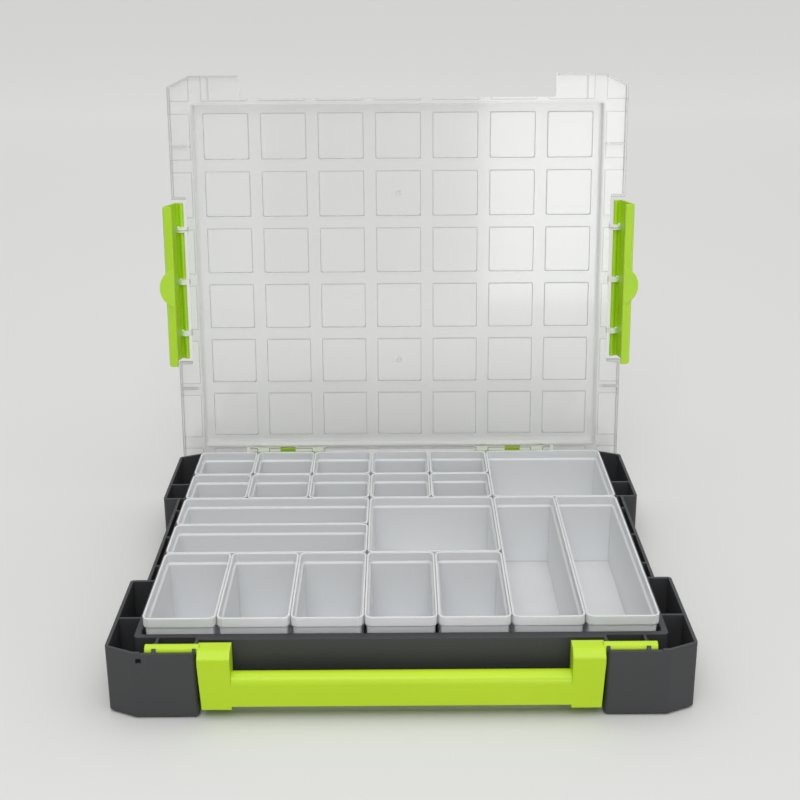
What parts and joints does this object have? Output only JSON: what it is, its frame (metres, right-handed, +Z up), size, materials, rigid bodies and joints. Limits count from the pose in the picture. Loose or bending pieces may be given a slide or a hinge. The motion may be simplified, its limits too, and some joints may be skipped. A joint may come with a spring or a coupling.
{
  "type": "compartment storage box",
  "caption": "Flat carry case for small parts: clear hinged lid over lift-out bins of several sizes, side latches and a fold-out front handle.",
  "frame": {"origin": "middle of the bin field, on the flat underside of the base, which is the ground", "axes": "+X to the right as seen from the handle, +Y from the handle towards the hinge side, +Z up"},
  "size_m": [0.4456, 0.447, 0.4083],
  "materials": {
    "tray_plastic": "fine matt grain",
    "clear_plastic": "clear, smooth, faintly grey moulded plastic",
    "bin_plastic": "milky, half clear, satin",
    "lime_plastic": "satin gloss lime green"
  },
  "bodies": {
    "base": {"base_tray": "tray_plastic"},
    "lid": {"lid": "clear_plastic", "hinge_clip_left": "lime_plastic", "hinge_clip_right": "lime_plastic"},
    "handle": {"carry_handle": "lime_plastic"},
    "latch_left": {"latch_left": "lime_plastic"},
    "latch_right": {"latch_right": "lime_plastic"},
    "small_bin_1": {"small_bin_1": "bin_plastic"},
    "small_bin_2": {"small_bin_2": "bin_plastic"},
    "small_bin_3": {"small_bin_3": "bin_plastic"},
    "small_bin_4": {"small_bin_4": "bin_plastic"},
    "small_bin_5": {"small_bin_5": "bin_plastic"},
    "small_bin_6": {"small_bin_6": "bin_plastic"},
    "small_bin_7": {"small_bin_7": "bin_plastic"},
    "small_bin_8": {"small_bin_8": "bin_plastic"},
    "small_bin_9": {"small_bin_9": "bin_plastic"},
    "small_bin_10": {"small_bin_10": "bin_plastic"},
    "square_bin_1": {"square_bin_1": "bin_plastic"},
    "square_bin_2": {"square_bin_2": "bin_plastic"},
    "wide_bin_1": {"wide_bin_1": "bin_plastic"},
    "wide_bin_2": {"wide_bin_2": "bin_plastic"},
    "long_bin_1": {"long_bin_1": "bin_plastic"},
    "long_bin_2": {"long_bin_2": "bin_plastic"},
    "double_bin_1": {"double_bin_1": "bin_plastic"},
    "double_bin_2": {"double_bin_2": "bin_plastic"},
    "double_bin_3": {"double_bin_3": "bin_plastic"},
    "double_bin_4": {"double_bin_4": "bin_plastic"},
    "double_bin_5": {"double_bin_5": "bin_plastic"}
  },
  "joints": [
    {"name": "lid_hinge", "type": "hinge", "parent": "base", "child": "lid", "pos_m": [0, 0.186, 0.035], "axis": [-1, 0, 0], "range_deg": [-95.57, 0]},
    {"name": "latch_left_hinge", "type": "hinge", "parent": "lid", "child": "latch_left", "pos_m": [-0.206, 0.22583, 0.21679], "axis": [0, -0.0971, -0.9953], "range_deg": [-8, 80]},
    {"name": "latch_right_hinge", "type": "hinge", "parent": "lid", "child": "latch_right", "pos_m": [0.206, 0.22583, 0.21679], "axis": [0, 0.0971, 0.9953], "range_deg": [-8, 80]},
    {"name": "handle_hinge", "type": "hinge", "parent": "base", "child": "handle", "pos_m": [0, -0.1825, 0.0525], "axis": [-1, 0, 0], "range_deg": [0, 90]},
    {"name": "small_bin_1_lift", "type": "slide", "parent": "base", "child": "small_bin_1", "axis": [0, 0, 1], "range_m": [0, 0.08]},
    {"name": "small_bin_2_lift", "type": "slide", "parent": "base", "child": "small_bin_2", "axis": [0, 0, 1], "range_m": [0, 0.08]},
    {"name": "small_bin_3_lift", "type": "slide", "parent": "base", "child": "small_bin_3", "axis": [0, 0, 1], "range_m": [0, 0.08]},
    {"name": "small_bin_4_lift", "type": "slide", "parent": "base", "child": "small_bin_4", "axis": [0, 0, 1], "range_m": [0, 0.08]},
    {"name": "small_bin_5_lift", "type": "slide", "parent": "base", "child": "small_bin_5", "axis": [0, 0, 1], "range_m": [0, 0.08]},
    {"name": "small_bin_6_lift", "type": "slide", "parent": "base", "child": "small_bin_6", "axis": [0, 0, 1], "range_m": [0, 0.08]},
    {"name": "small_bin_7_lift", "type": "slide", "parent": "base", "child": "small_bin_7", "axis": [0, 0, 1], "range_m": [0, 0.08]},
    {"name": "small_bin_8_lift", "type": "slide", "parent": "base", "child": "small_bin_8", "axis": [0, 0, 1], "range_m": [0, 0.08]},
    {"name": "small_bin_9_lift", "type": "slide", "parent": "base", "child": "small_bin_9", "axis": [0, 0, 1], "range_m": [0, 0.08]},
    {"name": "small_bin_10_lift", "type": "slide", "parent": "base", "child": "small_bin_10", "axis": [0, 0, 1], "range_m": [0, 0.08]},
    {"name": "square_bin_1_lift", "type": "slide", "parent": "base", "child": "square_bin_1", "axis": [0, 0, 1], "range_m": [0, 0.08]},
    {"name": "square_bin_2_lift", "type": "slide", "parent": "base", "child": "square_bin_2", "axis": [0, 0, 1], "range_m": [0, 0.08]},
    {"name": "wide_bin_1_lift", "type": "slide", "parent": "base", "child": "wide_bin_1", "axis": [0, 0, 1], "range_m": [0, 0.08]},
    {"name": "wide_bin_2_lift", "type": "slide", "parent": "base", "child": "wide_bin_2", "axis": [0, 0, 1], "range_m": [0, 0.08]},
    {"name": "long_bin_1_lift", "type": "slide", "parent": "base", "child": "long_bin_1", "axis": [0, 0, 1], "range_m": [0, 0.08]},
    {"name": "long_bin_2_lift", "type": "slide", "parent": "base", "child": "long_bin_2", "axis": [0, 0, 1], "range_m": [0, 0.08]},
    {"name": "double_bin_1_lift", "type": "slide", "parent": "base", "child": "double_bin_1", "axis": [0, 0, 1], "range_m": [0, 0.08]},
    {"name": "double_bin_2_lift", "type": "slide", "parent": "base", "child": "double_bin_2", "axis": [0, 0, 1], "range_m": [0, 0.08]},
    {"name": "double_bin_3_lift", "type": "slide", "parent": "base", "child": "double_bin_3", "axis": [0, 0, 1], "range_m": [0, 0.08]},
    {"name": "double_bin_4_lift", "type": "slide", "parent": "base", "child": "double_bin_4", "axis": [0, 0, 1], "range_m": [0, 0.08]},
    {"name": "double_bin_5_lift", "type": "slide", "parent": "base", "child": "double_bin_5", "axis": [0, 0, 1], "range_m": [0, 0.08]}
  ]
}
